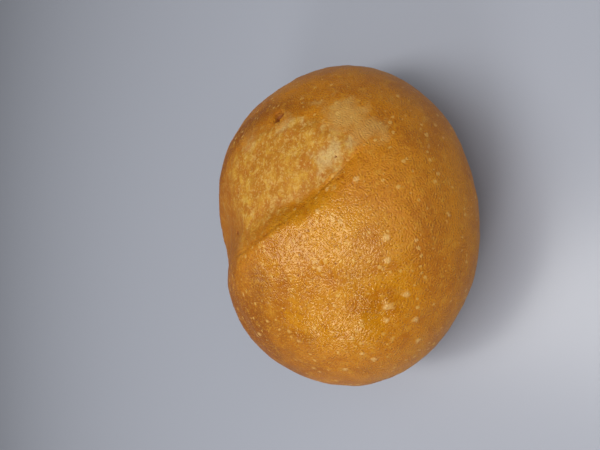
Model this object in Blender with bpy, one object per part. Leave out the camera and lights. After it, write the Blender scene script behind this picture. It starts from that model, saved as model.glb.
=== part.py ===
"""A round white bread roll with one slash across its top.

Frame: metres, +Z up, origin at the middle of the flat base. The slash runs roughly along Y,
with its raised lip on the -X side and its torn, opened crumb on the +X side.
The roll is one piece of baked dough, so it is one solid: a rounded body, shaped by a few
broad swellings and hollows, opened by the slash, and flat where it lay on the baking tray.
"""

import bmesh
import bpy
import numpy as np

MM = 0.001

# Driving dimensions of the whole roll.
WIDTH = 98 * MM  # X, across the slash
DEPTH = 92 * MM  # Y, along the slash
HEIGHT = 56.5 * MM

# The rounded body is two half ellipsoids that meet at the belly, where the roll is widest.
BELLY = 0.42 * HEIGHT
FOOT_REACH = 1.3 * BELLY  # how far down the lower half would reach, were it not for the base
BASE_ROUNDING = 2.2 * MM  # half the height over which the side turns into the flat base

# Broad swellings (+) and hollows (-): bearing and elevation of the middle in degrees, counted
# from +X and from the belly's level, then spread in degrees and height in millimetres.
SWELLINGS = [
    (0, 0, 22, 1),
    (45, 38, 24, 1.5),
    (74, 43, 20, -0.5),
    (110, 42, 20, -2.5),
    (144, 29, 22, 1),
    (185, 0, 30, 0.5),
    (256, -43, 24, -1),
    (297, -41, 24, -2),
    (136, 48, 9, 0.5),
    (62, 50, 9, 0.3),
    (175, 60, 20, 1.2),
]

# The slash. Its seam is the line in plan along which the blade cut. A flank curves down across
# the seam, from a raised lip on its -X side to a foot on its +X side, and from there the opened
# crumb rises gently to the rest of the crust. Tops and feet are distances across the seam.
SLASH_FRONT = (18.5 * MM, -29.5 * MM)
SLASH_BACK = (-9 * MM, 40 * MM)
SEAM_CURVE = 2.7  # exponent of the seam's line between its ends: 1 is straight
OPENING_WIDTH = 34.5 * MM
OPENING_FULLNESS = 0.95  # exponent of the opening's leaf shape
FLANK_PLACES = (0, 0.08, 0.18, 0.26, 0.36, 0.5, 0.65, 0.8, 1)  # along it, front to back
FLANK_TOPS = np.array([-6, -8, -7, -4, -3.5, -7, -10, -12, -12]) * MM
FLANK_FEET = np.array([1, 1, 2, 4, 6, 8, 9, 9, 9]) * MM
FLANK_DROPS = np.array([0, 1.6, 2.8, 3.1, 2.9, 2.8, 3.6, 4.2, 0]) * MM  # from top to foot
LIP_RISE = 0.4 * MM  # how far the lip stands proud of the body
LIP_WIDTH = 5 * MM

# The faceted skin.
CELLS = 29  # along each edge of the cube that the sphere is made from
CROWDING = 0.5  # how strongly cells crowd towards the flank of the slash, 0 to 1
CROWDING_WIDTH = 16 * MM

CRUST_COLOUR = (0.462, 0.159, 0.013, 1)
CRUST_ROUGHNESS = 0.45


def smooth_step(share):
    """0 below 0, 1 above 1, and an even curve between them."""
    share = np.clip(share, 0, 1)
    return share * share * (3 - 2 * share)


def half_sizes(is_above_belly):
    """Half the body's width and depth, and its reach above or below the belly."""
    reach = np.where(is_above_belly, HEIGHT - BELLY, FOOT_REACH)
    return np.column_stack([np.full_like(reach, WIDTH / 2), np.full_like(reach, DEPTH / 2), reach])


def body_at(directions):
    """Points of the plain body in these directions from the middle of its belly."""
    return directions * half_sizes(directions[:, 2] > 0) + [0, 0, BELLY]


def outward_at(points):
    """Unit vectors that point straight out of the plain body at these points."""
    outward = (points - [0, 0, BELLY]) / half_sizes(points[:, 2] > BELLY) ** 2
    return outward / np.linalg.norm(outward, axis=1, keepdims=True)


def swelling_at(directions):
    """Height of the broad swellings and hollows in each direction."""
    height = np.zeros(len(directions))
    for bearing, elevation, spread, rise in SWELLINGS:
        turn, lift = np.radians([bearing, elevation])
        middle = [np.cos(turn) * np.cos(lift), np.sin(turn) * np.cos(lift), np.sin(lift)]
        angle = np.degrees(np.arccos(np.clip(directions @ middle, -1, 1)))
        height += rise * MM * np.exp(-((angle / spread) ** 2))
    return height


def along_slash(points):
    """How far each point is along the slash in plan: 0 at its front end, 1 at its back end."""
    share = (points[:, 1] - SLASH_FRONT[1]) / (SLASH_BACK[1] - SLASH_FRONT[1])
    return np.clip(share, 0, 1)


def across_seam(points):
    """Signed distance in X from the seam to each point, positive on the opened side."""
    to_back = (1 - along_slash(points)) ** SEAM_CURVE
    return points[:, 0] - SLASH_BACK[0] - (SLASH_FRONT[0] - SLASH_BACK[0]) * to_back


def slash_at(points):
    """How far the slash lowers (+) or its lip raises (-) the body at each point."""
    along = along_slash(points)
    across = across_seam(points)
    leaf = (4 * along * (1 - along)) ** OPENING_FULLNESS
    top = np.interp(along, FLANK_PLACES, FLANK_TOPS)
    foot = np.interp(along, FLANK_PLACES, FLANK_FEET)
    down = smooth_step((across - top) / (foot - top))
    back_up = 1 - smooth_step(across / np.maximum(OPENING_WIDTH * leaf, 1e-9))
    lowered = np.interp(along, FLANK_PLACES, FLANK_DROPS) * down * back_up
    raised = LIP_RISE * leaf * np.exp(-(((across - top) / LIP_WIDTH) ** 2))
    return (lowered - raised) * smooth_step(4 * (points[:, 2] - BELLY) / HEIGHT)


def flat_based(heights):
    """Heights with those below the base lifted to it, and the edge between rounded."""
    rounded = (heights + BASE_ROUNDING) ** 2 / (4 * BASE_ROUNDING)
    return np.where(np.abs(heights) < BASE_ROUNDING, rounded, np.maximum(heights, 0))


def roll_at(directions):
    """Points of the finished roll in these directions, before it is fitted to its size."""
    points = body_at(directions)
    rise = swelling_at(directions) - slash_at(points)
    points = points + outward_at(points) * rise[:, None]
    points[:, 2] = flat_based(points[:, 2])
    return points


def fitted_to_size(points):
    """The points moved and scaled to the driving dimensions, standing on the origin."""
    low, high = points.min(axis=0), points.max(axis=0)
    middle = [(low[0] + high[0]) / 2, (low[1] + high[1]) / 2, low[2]]
    return (points - middle) * [WIDTH, DEPTH, HEIGHT] / (high - low)


def even_sphere(skin):
    """Fills skin with a cube of cells, and returns its corners' even places on a unit sphere."""
    bmesh.ops.create_cube(skin, size=2)
    bmesh.ops.subdivide_edges(skin, edges=skin.edges, cuts=CELLS - 1, use_grid_fill=True)
    bent = np.tan(np.array([vertex.co for vertex in skin.verts]) * np.pi / 4)
    return bent / np.linalg.norm(bent, axis=1, keepdims=True)


def crowded_to_flank(directions):
    """The directions, shifted a little so that more of them fall on the slash's flank."""
    points = body_at(directions)
    across = across_seam(points)
    shift = -CROWDING * across * np.exp(-((across / CROWDING_WIDTH) ** 2))
    shift *= smooth_step(2 * points[:, 2] / HEIGHT - 0.9)
    moved = directions.copy()
    moved[:, 0] += shift / (WIDTH / 2)
    return moved / np.linalg.norm(moved, axis=1, keepdims=True)


def join_base_faces(skin):
    """Makes the flat cells under the roll one face."""
    flat = [face for face in skin.faces if all(v.co.z < 0.001 * MM for v in face.verts)]
    bmesh.ops.dissolve_faces(skin, faces=flat, use_verts=True)


def crust_material():
    material = bpy.data.materials.new("crust")
    material.use_nodes = True
    shader = material.node_tree.nodes["Principled BSDF"]
    shader.inputs["Base Color"].default_value = CRUST_COLOUR
    shader.inputs["Roughness"].default_value = CRUST_ROUGHNESS
    shader.inputs["Metallic"].default_value = 0
    return material


def bread_roll():
    skin = bmesh.new()
    directions = crowded_to_flank(even_sphere(skin))
    for vertex, place in zip(skin.verts, fitted_to_size(roll_at(directions))):
        vertex.co = place
    join_base_faces(skin)
    bmesh.ops.recalc_face_normals(skin, faces=skin.faces)
    mesh = bpy.data.meshes.new("bread_roll")
    skin.to_mesh(mesh)
    skin.free()
    mesh.shade_smooth()
    mesh.materials.append(crust_material())
    roll = bpy.data.objects.new("bread_roll", mesh)
    bpy.context.scene.collection.objects.link(roll)


def clear_scene():
    for thing in list(bpy.data.objects):
        bpy.data.objects.remove(thing)


clear_scene()
bread_roll()
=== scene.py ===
"""The looks of a round white bread roll with one slash across its top.

The roll's solid is replaced by a fine skin of the same form, with the relief of a real crust:
uneven swelling, stretched torn crumb in the slash, blisters, dimples, pits and a cracked seam.
"""

import bmesh
import bpy
import numpy as np
from mathutils import Matrix, Vector, noise


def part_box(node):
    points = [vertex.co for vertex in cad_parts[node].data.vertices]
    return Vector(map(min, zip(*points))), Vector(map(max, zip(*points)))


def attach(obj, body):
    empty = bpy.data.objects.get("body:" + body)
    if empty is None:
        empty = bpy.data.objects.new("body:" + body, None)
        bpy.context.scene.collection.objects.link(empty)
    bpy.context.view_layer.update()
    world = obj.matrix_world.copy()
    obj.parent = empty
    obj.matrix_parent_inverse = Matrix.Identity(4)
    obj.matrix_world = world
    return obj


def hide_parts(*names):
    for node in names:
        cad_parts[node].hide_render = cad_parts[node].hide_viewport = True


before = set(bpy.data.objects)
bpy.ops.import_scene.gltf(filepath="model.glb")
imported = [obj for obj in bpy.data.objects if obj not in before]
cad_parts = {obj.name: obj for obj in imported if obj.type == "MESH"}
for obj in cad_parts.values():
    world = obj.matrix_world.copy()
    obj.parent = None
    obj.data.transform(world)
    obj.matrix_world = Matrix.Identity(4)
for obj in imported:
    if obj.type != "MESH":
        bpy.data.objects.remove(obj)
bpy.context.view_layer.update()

MM = 0.001
LOW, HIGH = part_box("bread_roll")
WIDTH, DEPTH, HEIGHT = HIGH - LOW

# ---------------------------------------------------------------- the roll's form
# These repeat the design of the solid, so that the skin lies on it: two half ellipsoids that
# meet at the belly, shaped by broad swellings and hollows, and flat under the base.
BELLY = 0.42 * HEIGHT
FOOT_REACH = 1.3 * BELLY  # how far down the lower half would reach, were it not for the base
BASE_ROUNDING = 2.2 * MM
# Swellings: bearing, elevation and spread in degrees, then height in millimetres.
SWELLINGS = [
    (0, 0, 22, 1),
    (45, 38, 24, 1.5),
    (74, 43, 20, -0.5),
    (110, 42, 20, -2.5),
    (144, 29, 22, 1),
    (185, 0, 30, 0.5),
    (256, -43, 24, -1),
    (297, -41, 24, -2),
    (136, 48, 9, 0.5),
    (62, 50, 9, 0.3),
    (175, 60, 20, 1.2),
]
# The slash: its seam in plan, how far it opened on its +X side, and the flank that curves down
# across the seam, from a raised lip to a foot. Tops and feet are distances across the seam.
SLASH_FRONT = (18.5 * MM, -29.5 * MM)
SLASH_BACK = (-9 * MM, 40 * MM)
SEAM_CURVE = 2.7
OPENING_WIDTH = 34.5 * MM
OPENING_FULLNESS = 0.95
FLANK_PLACES = (0, 0.08, 0.18, 0.26, 0.36, 0.5, 0.65, 0.8, 1)  # along it, front to back
FLANK_TOPS = np.array([-6, -8, -7, -4, -3.5, -7, -10, -12, -12]) * MM
FLANK_FEET = np.array([1, 1, 2, 4, 6, 8, 9, 9, 9]) * MM
FLANK_DROPS = np.array([0, 1.6, 2.8, 3.1, 2.9, 2.8, 3.6, 4.2, 0]) * MM
LIP_RISE = 0.4 * MM
LIP_WIDTH = 5 * MM

# ---------------------------------------------------------------- the fine skin
CELLS = 126  # along each edge of the cube that the sphere is made from
TOP_CROWDING = 0.3  # how strongly cells crowd towards the top, which shows most
FLANK_CROWDING = 0.3
FLANK_CROWDING_WIDTH = 16 * MM

# Uneven fields over the skin: feature size in millimetres, octaves, and a number of its own.
FIELDS = {
    "crumb_edge": (5, 3, 1),
    "strands": ((6, 1.8, 3), 3, 2),
    "lumps": (3.2, 3, 3),
    "crumb_swell": (8, 2, 4),
    "seam_wander": (5, 3, 5),
    "swell": (15, 2, 6),
    "ripple": (4, 2, 7),
    "pale_edge": (4, 4, 8),
    "oven": (11, 3, 9),
    "ragged_rim": (1.3, 2, 12),
    "crack_gaps": (4, 2, 13),
}
FIELD_SHIFT = 31.7  # keeps the fields apart
ROUND_EDGE = (1.1, 0.7)  # blisters and pits are this much smaller, give or take this much
SWELL_RISE = 0.30  # in millimetres, as all rises below without a unit
RIPPLE_RISE = 0.12

# Where the bare crumb starts, as a distance across the seam, and how softly.
CRUMB_PLACES = (0, 0.15, 0.28, 0.4, 0.55)
CRUMB_STARTS = np.array([0, -0.5, -2, -4.5, -8]) * MM
CRUMB_BLENDS = np.array([1.5, 3, 10, 13, 15]) * MM
CRUMB_WANDER = 0.12  # of its edges
START_WANDER = 10 * MM
CRUMB_RIM = 0.78  # where it ends, as a share of the opening's width
CRUMB_RIM_BLEND = 0.24
CRUMB_END = 0.25  # how open the slash is where the crumb shows in full
CRUSTED_FROM = 0.45  # along the slash: beyond it the crumb crusted over
CRUSTED_BLEND = 0.3
CRUSTED_SHARE = 0.35
STRAND_RISE = 0.14
LUMP_RISE = 0.15
CRUMB_SWELL_RISE = 0.25
STRAND_CONTRAST = 0.6  # of their colours

# How far the seam has cracked open, along the slash from its front end to its back end.
CRACK_PLACES = (0, 0.04, 0.08, 0.15, 0.19, 0.23, 0.34, 0.38, 0.44, 0.48, 0.58, 0.64)
CRACK_STRENGTHS = (0, 0.6, 0.9, 0.8, 0.2, 0.5, 0.45, 0.1, 0.1, 0.5, 0.4, 0)
CRACK_SHIFTS = np.array([0, 0, -0.5, -1.2, -1.6, -2.2, -2.8, -2.8, -2.8, -2.8, -2.4, -2]) * MM
CRACK_WIDTH = 0.42 * MM
CRACK_DEPTH = 0.4 * MM
CRACK_WANDER = 0.4 * MM
CRACK_KEPT = 0.75  # how much of it stays between its gaps
CRACK_GAPS = 0.8
# Midway along, the crust still ends in a small step where the blade cut it.
STEP_DROP = 0.3 * MM
STEP_WIDTH = 0.5 * MM
STEP_REACH = 4 * MM
STEP_PLACES = (0.08, 0.16, 0.3, 0.36, 0.44)
STEP_STRENGTHS = (0, 0.6, 1, 1, 0)

# Blisters that stand out: place in plan (x, y), radius and height, in millimetres.
LARGE_BLISTERS = [
    (-38.1, -18.3, 1.2, 0.12),
    (-34.1, -26.5, 1.1, 0.12),
    (-30.7, -10.4, 1.0, 0.10),
    (-32.6, -25.0, 0.9, 0.10),
    (-19.4, -33.9, 1.5, 0.18),
    (-23.0, -33.0, 1.0, 0.12),
    (-16.4, -37.4, 1.4, 0.16),
    (-22.8, -37.4, 1.0, 0.12),
    (-28.8, -35.6, 1.0, 0.10),
    (1.4, -24.8, 1.2, 0.14),
    (0.6, -26.6, 1.0, 0.12),
    (-10.6, -21.0, 1.1, 0.10),
    (3.1, -21.6, 1.0, 0.12),
    (-8.5, -35.5, 1.2, 0.12),
    (-2.8, -35.4, 1.2, 0.12),
    (-3.2, -40.2, 0.9, 0.10),
    (-19.5, 6.4, 0.9, 0.08),
    (10.8, -29.2, 1.0, 0.10),
]
# Small ones are scattered over the crust, fewer at the back and none at the foot.
MORE_BLISTERS = 60
MORE_BLISTER_RADIUS = (0.6 * MM, 1.0 * MM)
MORE_BLISTER_RISE = 0.09 * MM
MORE_BLISTER_STRENGTH = (0.35, 1)
BLISTERS_BEHIND = 0.3  # how many at the back for one at the front
BLISTERS_SHIFT = 0.3  # how far back the front's crowd reaches, in halves of the depth
BLISTERS_FROM = 0.15  # share of the height above which they start
BLISTERS_BLEND = 0.3
BLISTER_SEED = 11

# Pits: place in plan, radius and depth, in millimetres.
PITS = [
    (29.9, -2.4, 2.2, 1.0),
    (16.9, -23.4, 0.45, 0.5),
    (-12.4, -15.5, 0.42, 0.4),
    (-9.0, -25.0, 0.38, 0.35),
    (-1.5, -18.9, 0.5, 0.3),
    (11.2, -24.8, 0.45, 0.4),
    (-2.3, 13.3, 0.9, 0.4),
    (-7.5, -16.2, 0.32, 0.3),
    (8.0, 31.0, 0.5, 0.5),
    (-24.0, 24.0, 0.4, 0.4),
]

# Shallow dimples and folds of the crust: place in plan, radius and depth, in millimetres.
DIMPLES = [
    (-22.8, -31.5, 4.5, 0.45),
    (-12.5, -22.0, 5.0, 0.30),
    (-30.0, 12.0, 6.0, 0.35),
    (34.0, -12.0, 5.0, 0.30),
    (-14.0, 34.0, 5.0, 0.40),
    (30.0, 22.0, 5.0, 0.35),
]

# Where crust or crumb stayed pale, and in the largest one, on the right lobe, a painted highlight:
# place in plan and radius in millimetres, and strength.
PALE_AND_HIGHLIGHT_PATCHES = [
    (27.5, -23.0, 7.0, 0.95),
    (23.5, -29.0, 4.5, 0.8),
    (17.0, -21.5, 4.5, 1.0),
    (20.5, -27.0, 3.5, 0.7),
    (27.0, -6.5, 3.0, 0.7),
    (24.0, 8.0, 4.5, 0.5),
]
PALE_BLEND = 1.3  # how far past its radius a patch fades out
PALE_UNEVEN = 0.7

# Browning, 0 to 1: some everywhere, more on the rim beyond the slash, the foot, the left
# shoulder and the crusted crumb.
BROWNED_ALL = 0.2
BROWNED_RIM = 0.9
RIM_BEYOND = 3 * MM  # past the opening's far edge
RIM_WIDTH = 6 * MM
RIM_SHIFT = 0.55  # how far forward the browned rim reaches, in halves of the depth
BROWNED_FOOT = 0.3
BROWNED_FOOT_TOP = 4 * MM
BROWNED_FOOT_BLEND = 16 * MM
BROWNED_SHOULDER = 0.9
SHOULDER = (-28 * MM, 16 * MM, 42 * MM)
SHOULDER_REACH = 30 * MM
BROWNED_CRUMB = 0.7
TOASTED_FROM = 0.5  # along the slash
TOASTED_BLEND = 0.3
OVEN_UNEVEN = 0.35

# Steam glazed the crust most around here. The yellower colour given there is also a painted
# highlight.
GLAZED = (-12 * MM, -20 * MM, 46 * MM)
GLAZED_REACH = 14 * MM

# Bands above the base: where it starts to fade, and how far the fading goes.
FOOT_BAND = (0.5 * MM, 5 * MM)
# the low band also carries painted shade and a painted reflection of the table on the crust
LOW_BAND = (9 * MM, 12 * MM)
FLAT_BAND = 3 * MM  # relief fades out towards the flat base

# One blister burst and left a raised ring.
RING_PLACE = (-26.7 * MM, -20.9 * MM)
RING_RADIUS = 1.25 * MM
RING_RISE = 0.12 * MM
RING_WIDTH = 0.35 * MM


def smooth_step(share):
    """0 below 0, 1 above 1, and an even curve between them."""
    share = np.clip(share, 0, 1)
    return share * share * (3 - 2 * share)


def half_sizes(is_above_belly):
    """Half the body's width and depth, and its reach above or below the belly."""
    reach = np.where(is_above_belly, HEIGHT - BELLY, FOOT_REACH)
    return np.column_stack([np.full_like(reach, WIDTH / 2), np.full_like(reach, DEPTH / 2), reach])


def body_at(directions):
    """Points of the plain body in these directions from the middle of its belly."""
    return directions * half_sizes(directions[:, 2] > 0) + [0, 0, BELLY]


def outward_at(points):
    """Unit vectors that point straight out of the plain body at these points."""
    outward = (points - [0, 0, BELLY]) / half_sizes(points[:, 2] > BELLY) ** 2
    return outward / np.linalg.norm(outward, axis=1, keepdims=True)


def swelling_at(directions):
    """Height of the broad swellings and hollows in each direction."""
    height = np.zeros(len(directions))
    for bearing, elevation, spread, rise in SWELLINGS:
        turn, lift = np.radians([bearing, elevation])
        middle = [np.cos(turn) * np.cos(lift), np.sin(turn) * np.cos(lift), np.sin(lift)]
        angle = np.degrees(np.arccos(np.clip(directions @ middle, -1, 1)))
        height += rise * MM * np.exp(-((angle / spread) ** 2))
    return height


class Slash:
    """Where each point lies in the slash: along it, across its seam, and in its opening."""

    def __init__(self, points):
        share = (points[:, 1] - SLASH_FRONT[1]) / (SLASH_BACK[1] - SLASH_FRONT[1])
        self.along = np.clip(share, 0, 1)
        to_back = (1 - self.along) ** SEAM_CURVE
        seam = SLASH_BACK[0] + (SLASH_FRONT[0] - SLASH_BACK[0]) * to_back
        self.across = points[:, 0] - seam
        self.leaf = (4 * self.along * (1 - self.along)) ** OPENING_FULLNESS
        self.opening = np.maximum(OPENING_WIDTH * self.leaf, 1e-9)
        self.top = np.interp(self.along, FLANK_PLACES, FLANK_TOPS)
        self.foot = np.interp(self.along, FLANK_PLACES, FLANK_FEET)
        self.on_top = smooth_step(4 * (points[:, 2] - BELLY) / HEIGHT)

    def depth(self):
        """How far the slash lowers (+) or its lip raises (-) the body."""
        down = smooth_step((self.across - self.top) / (self.foot - self.top))
        back_up = 1 - smooth_step(self.across / self.opening)
        lowered = np.interp(self.along, FLANK_PLACES, FLANK_DROPS) * down * back_up
        raised = LIP_RISE * self.leaf * np.exp(-(((self.across - self.top) / LIP_WIDTH) ** 2))
        return (lowered - raised) * self.on_top


def flat_based(heights):
    """Heights with those below the base lifted to it, and the edge between rounded."""
    rounded = (heights + BASE_ROUNDING) ** 2 / (4 * BASE_ROUNDING)
    return np.where(np.abs(heights) < BASE_ROUNDING, rounded, np.maximum(heights, 0))


def form_at(directions):
    """Points of the roll's form in these directions, fitted to the solid's box."""
    points = body_at(directions)
    rise = swelling_at(directions) - Slash(points).depth()
    points = points + outward_at(points) * rise[:, None]
    points[:, 2] = flat_based(points[:, 2])
    low, high = points.min(axis=0), points.max(axis=0)
    middle = [(low[0] + high[0]) / 2, (low[1] + high[1]) / 2, low[2]]
    return (points - middle) * [WIDTH, DEPTH, HEIGHT] / (high - low)


def crowded(directions):
    """The directions, with more of them on the top and on the slash's flank."""
    raised = directions + [0, 0, TOP_CROWDING]
    raised /= np.linalg.norm(raised, axis=1, keepdims=True)
    points = body_at(raised)
    across = Slash(points).across
    shift = -FLANK_CROWDING * across * np.exp(-((across / FLANK_CROWDING_WIDTH) ** 2))
    shift *= smooth_step(2 * points[:, 2] / HEIGHT - 0.9)
    raised[:, 0] += shift / (WIDTH / 2)
    return raised / np.linalg.norm(raised, axis=1, keepdims=True)


def field_at(points, name):
    """Uneven values of about -1 to 1. A field's size may differ by axis."""
    size, octaves, number = FIELDS[name]
    places = points / (np.ones(3) * size * MM) + FIELD_SHIFT * number
    return np.array([noise.fractal(place, 1.0, 2.0, octaves) for place in places.tolist()])


def near_plan(points, place):
    """Distance from each point of the roll's top to the top point above this place in plan."""
    plan = np.hypot(points[:, 0] - place[0], points[:, 1] - place[1])
    upper = np.where(points[:, 2] > BELLY, plan, 1.0)
    middle = points[np.argmin(upper)]
    return np.linalg.norm(points - middle, axis=1)


def dome(distance, radius):
    """A low round bump: 1 in the middle, 0 from the radius outwards."""
    return np.clip(1 - (distance / radius) ** 2, 0, 1) ** 1.5


class Relief:
    """Adds up the skin's relief and the maps that its crust is coloured by."""

    def __init__(self, points):
        self.points = points
        self.slash = Slash(points)
        self.rise = np.zeros(len(points))
        self.maps = {}
        self.side = smooth_step(points[:, 2] / FLAT_BAND)  # 0 on the flat base
        smaller, uneven = ROUND_EDGE
        self.rough = smaller + uneven * field_at(points, "ragged_rim")

    def opened_crumb(self):
        """The torn crumb, which stretched in strands and lumps as the slash opened."""
        slash = self.slash
        ragged = CRUMB_WANDER * field_at(self.points, "crumb_edge")
        start = np.interp(slash.along, CRUMB_PLACES, CRUMB_STARTS)
        blend = np.interp(slash.along, CRUMB_PLACES, CRUMB_BLENDS)
        from_seam = smooth_step((slash.across - start + START_WANDER * ragged) / blend)
        past_rim = slash.across / slash.opening - CRUMB_RIM + ragged
        ends = smooth_step(slash.leaf / CRUMB_END + ragged)
        crumb = from_seam * (1 - smooth_step(past_rim / CRUMB_RIM_BLEND)) * ends * slash.on_top
        crumb *= 1 - CRUSTED_SHARE * smooth_step((slash.along - CRUSTED_FROM) / CRUSTED_BLEND)
        strands = field_at(self.points, "strands")
        lumps = field_at(self.points, "lumps")
        broad = field_at(self.points, "crumb_swell")
        torn = STRAND_RISE * strands + LUMP_RISE * lumps + CRUMB_SWELL_RISE * broad
        self.rise += crumb * torn * MM
        self.maps["crumb"] = crumb
        mixed = np.clip(STRAND_CONTRAST * strands + STRAND_CONTRAST * lumps, -1, 1)
        self.maps["strands"] = 0.5 + 0.5 * mixed

    def cracked_seam(self):
        """The hairline crack along the seam, and the step of crust beside it."""
        slash = self.slash
        past = slash.across - np.interp(slash.along, CRACK_PLACES, CRACK_SHIFTS)
        past += CRACK_WANDER * field_at(self.points, "seam_wander")
        crack = np.exp(-((past / CRACK_WIDTH) ** 2))
        crack *= np.clip(CRACK_KEPT + CRACK_GAPS * field_at(self.points, "crack_gaps"), 0, 1)
        crack *= np.interp(slash.along, CRACK_PLACES, CRACK_STRENGTHS) * slash.on_top
        self.rise -= CRACK_DEPTH * crack
        self.maps["crack"] = crack
        step = smooth_step(past / STEP_WIDTH) * np.exp(-np.maximum(past, 0) / STEP_REACH)
        step *= np.interp(slash.along, STEP_PLACES, STEP_STRENGTHS) * slash.on_top
        self.rise -= STEP_DROP * step

    def unevenness(self):
        """Gentle swells and ripples all over."""
        swell = SWELL_RISE * field_at(self.points, "swell")
        ripple = RIPPLE_RISE * field_at(self.points, "ripple")
        self.rise += (swell + ripple) * MM * self.side

    def dimples(self):
        """Shallow hollows in the crust."""
        for x, y, radius, depth in DIMPLES:
            distance = near_plan(self.points, (x * MM, y * MM))
            self.rise -= depth * MM * dome(distance, radius * MM)

    def blisters(self):
        """Blisters, and a map of how much of one each point is on."""
        random = np.random.default_rng(BLISTER_SEED)
        mark = np.zeros(len(self.points))
        for x, y, radius, rise in LARGE_BLISTERS:
            bump = dome(near_plan(self.points, (x * MM, y * MM)) * self.rough, radius * MM)
            self.rise += rise * MM * bump
            mark = np.maximum(mark, bump)
        share = random.random(len(self.points))
        in_front = smooth_step(-self.points[:, 1] / DEPTH * 2 + BLISTERS_SHIFT)
        crowd = BLISTERS_BEHIND + (1 - BLISTERS_BEHIND) * in_front
        above_foot = smooth_step((self.points[:, 2] / HEIGHT - BLISTERS_FROM) / BLISTERS_BLEND)
        keep = np.flatnonzero(share < (1 - self.maps["crumb"]) * crowd * above_foot)
        for middle in self.points[random.choice(keep, MORE_BLISTERS, replace=False)]:
            radius = random.uniform(*MORE_BLISTER_RADIUS)
            strength = random.uniform(*MORE_BLISTER_STRENGTH)
            distance = np.linalg.norm(self.points - middle, axis=1)
            bump = dome(distance * self.rough, radius) * strength
            self.rise += MORE_BLISTER_RISE * bump
            mark = np.maximum(mark, bump)
        self.maps["blister"] = mark

    def ring(self):
        """The raised ring of the blister that burst."""
        distance = near_plan(self.points, RING_PLACE)
        self.rise += RING_RISE * np.exp(-(((distance - RING_RADIUS) / RING_WIDTH) ** 2))

    def pits(self):
        """Small holes, and a map of their depth."""
        dark = np.zeros(len(self.points))
        for x, y, radius, depth in PITS:
            hole = dome(near_plan(self.points, (x * MM, y * MM)) * self.rough, radius * MM)
            self.rise -= depth * MM * hole
            dark = np.maximum(dark, hole)
        self.maps["pit"] = dark

    def paleness(self):
        """A map of the patches that stayed pale and of the painted highlight on the right lobe,
        with uneven edges.
        """
        pale = np.zeros(len(self.points))
        uneven = 1 + PALE_UNEVEN * field_at(self.points, "pale_edge")
        for x, y, radius, strength in PALE_AND_HIGHLIGHT_PATCHES:
            distance = near_plan(self.points, (x * MM, y * MM)) * uneven
            pale = np.maximum(pale, strength * smooth_step(PALE_BLEND - distance / (radius * MM)))
        self.maps["pale"] = pale

    def browning(self):
        """A map of how much the oven browned it."""
        slash, points = self.slash, self.points
        rim = np.exp(-(((slash.across - slash.opening - RIM_BEYOND) / RIM_WIDTH) ** 2))
        rim *= slash.on_top * smooth_step(points[:, 1] / DEPTH * 2 + RIM_SHIFT)
        foot = 1 - smooth_step((points[:, 2] - BROWNED_FOOT_TOP) / BROWNED_FOOT_BLEND)
        shoulder = np.exp(-((np.linalg.norm(points - SHOULDER, axis=1) / SHOULDER_REACH) ** 2))
        uneven = OVEN_UNEVEN * field_at(points, "oven")
        toasted = smooth_step((slash.along - TOASTED_FROM) / TOASTED_BLEND) * self.maps["crumb"]
        sides = BROWNED_RIM * rim + BROWNED_FOOT * foot + BROWNED_SHOULDER * shoulder
        browned = BROWNED_ALL + sides + BROWNED_CRUMB * toasted + uneven
        self.maps["browning"] = np.clip(browned, 0, 1)

    def bands(self):
        """Maps of how dry the crust is away from its glaze, and of its lowest bands."""
        distance = np.linalg.norm(self.points - GLAZED, axis=1)
        self.maps["dry"] = smooth_step((distance - GLAZED_REACH) / GLAZED_REACH)
        for name, (top, fade) in (("foot", FOOT_BAND), ("low", LOW_BAND)):
            self.maps[name] = 1 - smooth_step((self.points[:, 2] - top) / fade)


def relief_of(points):
    """The relief and maps of the skin at these points of the form."""
    relief = Relief(points)
    relief.opened_crumb()
    relief.cracked_seam()
    relief.unevenness()
    relief.dimples()
    relief.blisters()
    relief.ring()
    relief.pits()
    relief.paleness()
    relief.browning()
    relief.bands()
    return relief


def sphere_cells():
    """A bmesh cube of cells and its corners' even places on a unit sphere."""
    skin = bmesh.new()
    bmesh.ops.create_cube(skin, size=2)
    bmesh.ops.subdivide_edges(skin, edges=skin.edges, cuts=CELLS - 1, use_grid_fill=True)
    bent = np.tan(np.array([vertex.co for vertex in skin.verts]) * np.pi / 4)
    return skin, bent / np.linalg.norm(bent, axis=1, keepdims=True)


def mesh_normals(mesh):
    """The mesh's vertex normals, one row each."""
    normals = np.empty(len(mesh.vertices) * 3)
    mesh.vertex_normals.foreach_get("vector", normals)
    return normals.reshape(-1, 3)


def add_map(mesh, name, values):
    """Gives each point of the mesh a value that its material reads by name."""
    layer = mesh.attributes.new(name, "FLOAT", "POINT")
    layer.data.foreach_set("value", values.astype(np.float32))


def bread_skin():
    """The roll's visible piece: its form, then the relief along the form's own normals."""
    skin, even = sphere_cells()
    points = form_at(crowded(even))
    mesh = bpy.data.meshes.new("bread_skin")
    skin.to_mesh(mesh)
    skin.free()
    mesh.vertices.foreach_set("co", points.ravel())
    mesh.update()
    relief = relief_of(points)
    points = points + mesh_normals(mesh) * (relief.rise * relief.side)[:, None]
    points[:, 2] = np.maximum(points[:, 2], 0)
    mesh.vertices.foreach_set("co", points.ravel())
    for name, values in relief.maps.items():
        add_map(mesh, name, values)
    mesh.update()
    mesh.shade_smooth()
    piece = bpy.data.objects.new("bread_skin", mesh)
    bpy.context.scene.collection.objects.link(piece)
    return piece


# ---------------------------------------------------------------- materials
def colour(code):
    """Linear colour of an sRGB hex value."""
    shares = np.array([int(code[i : i + 2], 16) / 255 for i in (1, 3, 5)])
    linear = np.where(shares <= 0.04045, shares / 12.92, ((shares + 0.055) / 1.055) ** 2.4)
    return (*linear, 1)


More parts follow.
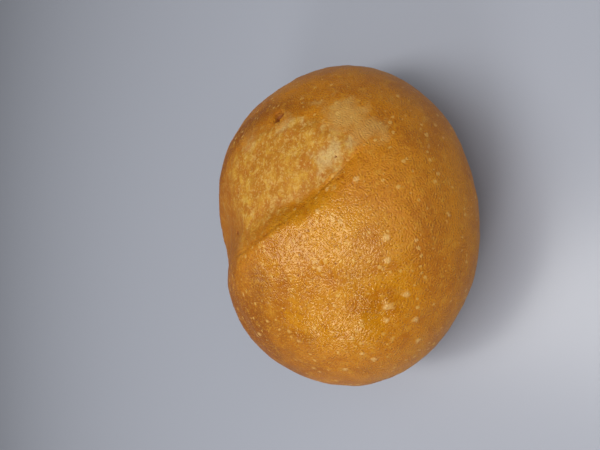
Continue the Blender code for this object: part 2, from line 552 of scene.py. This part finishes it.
def add(tree, kind, output, inputs=None, **settings):
    """Adds a node and returns one of its outputs. Inputs, by name or number, are given a value
    or another node's output."""
    made = tree.nodes.new(kind)
    for name, value in settings.items():
        setattr(made, name, value)
    for key, value in (inputs or {}).items():
        if isinstance(value, bpy.types.NodeSocket):
            tree.links.new(value, made.inputs[key])
        else:
            made.inputs[key].default_value = value
    return made.outputs[output]


def coated(tree, base, coats):
    """Lays coats over a base colour. A coat has a mask, the mask's values where it starts and
    where it is full, how much it covers there, and its colour, a hex value or an output."""
    for mask, start, full, cover, coat in coats:
        limits = {0: mask, 1: start, 2: full, 3: 0, 4: cover}
        share = add(tree, "ShaderNodeMapRange", 0, limits, interpolation_type="SMOOTHSTEP")
        over = colour(coat) if isinstance(coat, str) else coat
        base = add(tree, "ShaderNodeMix", 2, {0: share, 6: base, 7: over}, data_type="RGBA")
    return base


def new_material(name):
    """A material and its shader, whose sockets hold what is the same all over."""
    material = bpy.data.materials.new(name)
    material.use_nodes = True
    return material, material.node_tree.nodes["Principled BSDF"]


# Grains of the crust: feature size in millimetres, octaves, their roughness, and distortion.
GRAINS = {
    "patches": (10, 3, 0.6, 0.6),  # where the dough browned sooner or later
    "blotches": (4, 3, 0.6, 0.8),  # of the torn crumb
    "mottle": (1.8, 3, 0.65, 0.3),
    "fine": (0.6, 2, 0.6, 0),
    "grit": (0.45, 2, 0.6, 0),
}
MAPS = ("crumb", "strands", "crack", "blister", "pit", "pale", "browning", "foot", "low", "dry")
# Real wrinkles are about 0.3 to 0.5 mm apart, and are drawn a little coarser so that they show.
WRINKLE_SPACING = 0.6 * MM
WRINKLE_WANDER = 0.6 * MM
WRINKLE_LOSS_LOW = -0.8  # how much calmer they are low down
WRINKLE_LOSS_CRUMB = -0.5
SPECK_SPACING = 1.6 * MM
SPECK_WANDER = 0.7 * MM
SPECK_GROWTH = 0.9  # a speck's reach in spacings, times its chance of 0 to 1
SPECK_LOSS = -0.44  # off its reach, so that about half of the specks don't show
SPECK_RISE = 0.12
WANDER_SIZE = 0.9 * MM
FADING = 0.9  # how far the mottle breaks up the edges of pale patches
FRAYING = 0.8  # and the edge of the crumb
FINE_RELIEF = 0.21 * MM
RELIEF_SHARES = {"grit": 0.12, "mottle": 0.25}  # beside the wrinkles
GLAZE_ROUGHNESS = 0.08
CRUMB_ROUGHNESS = 0.25
DRY_ROUGHNESS = 0.38
MOTTLE_ROUGHNESS = 0.1


def baked_crust():
    """Wheat crust, glazed by its own steam and browned in the oven: honey gold with a soft
    sheen broken up by fine wrinkles, and dry pale crumb where it tore open."""
    material, shader = new_material("baked wheat crust")
    tree = material.node_tree
    place = add(tree, "ShaderNodeTexCoord", "Object")
    grain = {}
    for name, (size, octaves, rough, distortion) in GRAINS.items():
        inputs = {"Vector": place, "Scale": 1 / (size * MM), "Detail": octaves - 1}
        inputs |= {"Roughness": rough, "Distortion": distortion}
        grain[name] = add(tree, "ShaderNodeTexNoise", 0, inputs)
    mapped = {}
    for name in MAPS:
        mapped[name] = add(tree, "ShaderNodeAttribute", "Fac", attribute_name=name)

    # specks: tiny flat blisters of different sizes, one in about half of all scattered cells
    wander = {"Vector": place, "Scale": 1 / WANDER_SIZE, "Detail": 1}
    wander = add(tree, "ShaderNodeTexNoise", "Color", wander)
    moved = {0: wander, 1: (SPECK_WANDER,) * 3, 2: place}
    moved = add(tree, "ShaderNodeVectorMath", 0, moved, operation="MULTIPLY_ADD")
    cells = {"Vector": moved, "Scale": 1 / SPECK_SPACING}
    distance = add(tree, "ShaderNodeTexVoronoi", "Distance", cells)
    chance = add(tree, "ShaderNodeTexVoronoi", "Color", cells)
    reach = {0: chance, 1: SPECK_GROWTH, 2: SPECK_LOSS}
    reach = add(tree, "ShaderNodeMath", 0, reach, operation="MULTIPLY_ADD")
    speck = add(tree, "ShaderNodeMath", 0, {0: reach, 1: distance}, operation="SUBTRACT")

    # wrinkles: worm-like creases of the dried skin, calmer low down and on the crumb
    calm = {0: mapped["low"], 1: WRINKLE_LOSS_LOW, 2: 1.0}
    calm = add(tree, "ShaderNodeMath", 0, calm, operation="MULTIPLY_ADD")
    calm = {0: mapped["crumb"], 1: WRINKLE_LOSS_CRUMB, 2: calm}
    calm = add(tree, "ShaderNodeMath", 0, calm, operation="MULTIPLY_ADD", use_clamp=True)
    bent = {0: wander, 1: (WRINKLE_WANDER,) * 3, 2: place}
    bent = add(tree, "ShaderNodeVectorMath", 0, bent, operation="MULTIPLY_ADD")
    waves = {"Vector": bent, "Scale": 0.5 / WRINKLE_SPACING, "Frequency": 2, "Anisotropy": 0.0}
    ridges = add(tree, "ShaderNodeTexGabor", "Value", waves, gabor_type="3D")
    ridges = add(tree, "ShaderNodeMath", 0, {0: ridges, 1: 0.5}, operation="SUBTRACT")
    ridges = add(tree, "ShaderNodeMath", 0, {0: ridges, 1: calm}, operation="MULTIPLY")

    faded = {0: grain["mottle"], 1: FADING, 2: mapped["pale"]}
    pale = add(tree, "ShaderNodeMath", 0, faded, operation="MULTIPLY_ADD")

    # crust: amber, honey where it baked less and chestnut where it baked most, with painted shade
    # and highlights where marked
    crust = coated(tree, colour("#C07606"), [
        # yellower where glazed: partly a painted highlight on the glazed top of the left lobe
        (mapped["dry"], 0.8, 0.0, 0.8, "#C48008"),
        (grain["patches"], 0.4, 0.66, 0.75, "#AA6004"),
        (mapped["browning"], 0.35, 1.0, 0.9, "#864404"),
        # painted shade and a greyish painted reflection of the table: darker and greyer low down
        (mapped["low"], 0.0, 1.0, 0.8, "#9A5C18"),
        (grain["mottle"], 0.52, 0.75, 0.5, "#CC8C0E"),
        (grain["mottle"], 0.45, 0.25, 0.5, "#A25A04"),
        # painted shade in the wrinkles' creases and painted highlight on their crests, following
        # their bump
        (ridges, 0.0, -0.25, 0.5, "#8A4A04"),
        (ridges, 0.0, 0.25, 0.5, "#D29214"),
        # pale patches, the largest of them also a painted highlight on the right lobe
        (pale, 0.3, 1.7, 0.65, "#CCA25A"),
        (speck, -0.09, 0.12, 0.6, "#DCAE5C"),
        (mapped["blister"], 0.05, 0.9, 0.65, "#E0B46C"),
    ])

    # torn crumb: straw yellow, whiter on its strands and toasted in its hollows and at the back
    torn = coated(tree, colour("#AC6E10"), [
        (grain["blotches"], 0.48, 0.7, 0.75, "#C89630"),
        (grain["blotches"], 0.5, 0.3, 0.75, "#A65E0A"),
        (mapped["strands"], 0.45, 0.8, 0.5, "#C8922E"),
        (mapped["strands"], 0.4, 0.1, 0.4, "#A05C12"),
        (pale, 0.45, 1.6, 0.85, "#C8A86C"),
        (grain["mottle"], 0.5, 0.7, 0.5, "#D2A858"),
        (grain["mottle"], 0.45, 0.3, 0.55, "#A8681A"),
        (grain["fine"], 0.56, 0.72, 0.4, "#D9B470"),
        (grain["fine"], 0.45, 0.3, 0.42, "#A2601A"),
        (mapped["browning"], 0.3, 0.9, 0.75, "#9A5810"),
    ])
    edge = {0: grain["mottle"], 1: FRAYING, 2: mapped["crumb"]}
    edge = add(tree, "ShaderNodeMath", 0, edge, operation="MULTIPLY_ADD")
    skin = coated(tree, crust, [
        (edge, 0.5, 1.3, 1.0, torn),
        # painted shade: a dark line inside the hairline crack
        (mapped["crack"], 0.2, 0.9, 0.75, "#7A420E"),
        # painted shade darkening the insides of the pits
        (mapped["pit"], 0.1, 0.7, 0.9, "#7C3A08"),
        (mapped["foot"], 0.2, 1.0, 0.8, "#855022"),
    ])
    tree.links.new(skin, shader.inputs["Base Color"])

    # relief finer than the mesh: wrinkles, specks and a dry crumb's open grain
    raised = {0: speck, 1: -0.05, 2: 0.15, 3: 0, 4: SPECK_RISE}
    raised = add(tree, "ShaderNodeMapRange", 0, raised, interpolation_type="SMOOTHSTEP")
    height = add(tree, "ShaderNodeMath", 0, {0: ridges, 1: raised}, operation="ADD")
    for name, share in RELIEF_SHARES.items():
        inputs = {0: grain[name], 1: share, 2: height}
        height = add(tree, "ShaderNodeMath", 0, inputs, operation="MULTIPLY_ADD")
    bump = {"Strength": 1.0, "Distance": FINE_RELIEF, "Height": height}
    tree.links.new(add(tree, "ShaderNodeBump", 0, bump), shader.inputs["Normal"])

    # gloss: the glaze is sharpest where steam settled, and the crumb and dry crust are duller
    duller = [
        (mapped["crumb"], CRUMB_ROUGHNESS),
        (mapped["dry"], DRY_ROUGHNESS),
        (grain["mottle"], MOTTLE_ROUGHNESS),
    ]
    dull = GLAZE_ROUGHNESS
    for mask, share in duller:
        inputs = {0: mask, 1: share, 2: dull}
        dull = add(tree, "ShaderNodeMath", 0, inputs, operation="MULTIPLY_ADD")
    tree.links.new(dull, shader.inputs["Roughness"])
    shader.inputs["IOR"].default_value = 1.5
    shader.inputs["Specular Tint"].default_value = colour("#FFF2C8")
    shader.inputs["Subsurface Weight"].default_value = 0.08
    shader.inputs["Subsurface Radius"].default_value = (1.0, 0.45, 0.15)
    shader.inputs["Subsurface Scale"].default_value = 0.8 * MM
    return material


def lacquered_table():
    """A pale blue-grey lacquered board, rolled on and half gloss: it mirrors softly."""
    material, shader = new_material("pale lacquered board")
    shader.inputs["Base Color"].default_value = colour("#A4A8B3")
    shader.inputs["Roughness"].default_value = 0.3
    shader.inputs["IOR"].default_value = 1.5
    return material


# ---------------------------------------------------------------- stage
CAMERA_LENS_MM = 28
CAMERA_DISTANCE = 145 * MM
CAMERA_ELEVATION = 46
CAMERA_TILT = 43  # below the horizon: the roll sits a little under the middle of the frame
CAMERA_AIM = Vector((0, 0, 28 * MM))
CAMERA_NEAR = 10 * MM
TABLE_SIZE = 3.0
BACKDROP_RADIUS = 4.0

# Soft lights: name, place, width across and length along Y in metres, power in watts, colour.
LIGHTS = [
    ("room_ceiling", (-0.1, 0.1, 1.1), (2.0, 2.0), 4.0, (0.96, 0.98, 1.0)),
    ("ceiling_light", (-0.15, 0.04, 0.93), (0.27, 1.05), 5.8, (1.0, 0.98, 0.95)),
    ("left_light", (-0.81, -0.04, 0.58), (0.25, 0.35), 2.2, (1.0, 0.99, 0.97)),
    ("front_light", (0.1, -0.9, 0.75), (1.6, 1.0), 5.5, (1.0, 0.99, 0.98)),
]
ROOM_COLOUR = (0.92, 0.95, 1.0, 1)
ROOM_STRENGTH = 0.08


def painted_wall():
    """A wall rolled with matt paint: one even pale grey, without gloss or shading."""
    material, shader = new_material("pale painted wall")
    shader.inputs["Base Color"].default_value = colour("#000000")
    shader.inputs["Specular IOR Level"].default_value = 0
    shader.inputs["Emission Color"].default_value = colour("#9A9EA8")
    shader.inputs["Emission Strength"].default_value = 1.0
    return material


def add_table():
    half = TABLE_SIZE / 2
    corners = [(-half, -half, 0), (half, -half, 0), (half, half, 0), (-half, half, 0)]
    mesh = bpy.data.meshes.new("table_top")
    mesh.from_pydata(corners, [], [(0, 1, 2, 3)])
    mesh.materials.append(lacquered_table())
    table = bpy.data.objects.new("table_top", mesh)
    bpy.context.scene.collection.objects.link(table)


def add_backdrop():
    """A pale dome far behind the table, which only the camera sees."""
    wall = bmesh.new()
    bmesh.ops.create_icosphere(wall, subdivisions=4, radius=BACKDROP_RADIUS)
    mesh = bpy.data.meshes.new("backdrop")
    wall.to_mesh(mesh)
    wall.free()
    mesh.materials.append(painted_wall())
    backdrop = bpy.data.objects.new("backdrop", mesh)
    backdrop.visible_diffuse = False
    backdrop.visible_glossy = False
    backdrop.visible_shadow = False
    bpy.context.scene.collection.objects.link(backdrop)


def set_camera():
    """The camera lies on its side: the frame's right is the world's down."""
    elevation, tilt = np.radians([CAMERA_ELEVATION, CAMERA_TILT])
    right = Vector((1, 0, 0))
    ahead = Vector((0, np.cos(tilt), -np.sin(tilt)))
    up = right.cross(ahead)
    place = CAMERA_AIM + CAMERA_DISTANCE * Vector((0, -np.cos(elevation), np.sin(elevation)))
    lens = bpy.data.cameras.new("camera")
    lens.lens = CAMERA_LENS_MM
    lens.clip_start = CAMERA_NEAR
    camera = bpy.data.objects.new("camera", lens)
    turned = Matrix((-up, right, -ahead)).transposed()
    camera.matrix_world = Matrix.Translation(place) @ turned.to_4x4()
    bpy.context.scene.collection.objects.link(camera)
    bpy.context.scene.camera = camera


def add_light(name, place, size, power, tint):
    """A soft rectangular light that faces the roll; its length runs along Y."""
    lamp = bpy.data.lights.new(name, "AREA")
    lamp.shape = "RECTANGLE"
    lamp.size, lamp.size_y = size
    lamp.energy = power
    lamp.color = tint
    light = bpy.data.objects.new(name, lamp)
    away = Vector(place).normalized()
    across = Vector((0, 1, 0)).cross(away).normalized()
    turned = Matrix((across, away.cross(across), away)).transposed()
    light.matrix_world = Matrix.Translation(place) @ turned.to_4x4()
    bpy.context.scene.collection.objects.link(light)


def light_room():
    for name, place, size, power, tint in LIGHTS:
        add_light(name, place, size, power, tint)
    world = bpy.data.worlds.new("room")
    world.use_nodes = True
    sky = world.node_tree.nodes["Background"]
    sky.inputs["Color"].default_value = ROOM_COLOUR
    sky.inputs["Strength"].default_value = ROOM_STRENGTH
    bpy.context.scene.world = world
    bpy.context.scene.view_settings.view_transform = "Standard"


set_camera()
add_table()
add_backdrop()
light_room()
roll = bread_skin()
roll.data.materials.append(baked_crust())
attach(roll, "root")
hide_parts("bread_roll")
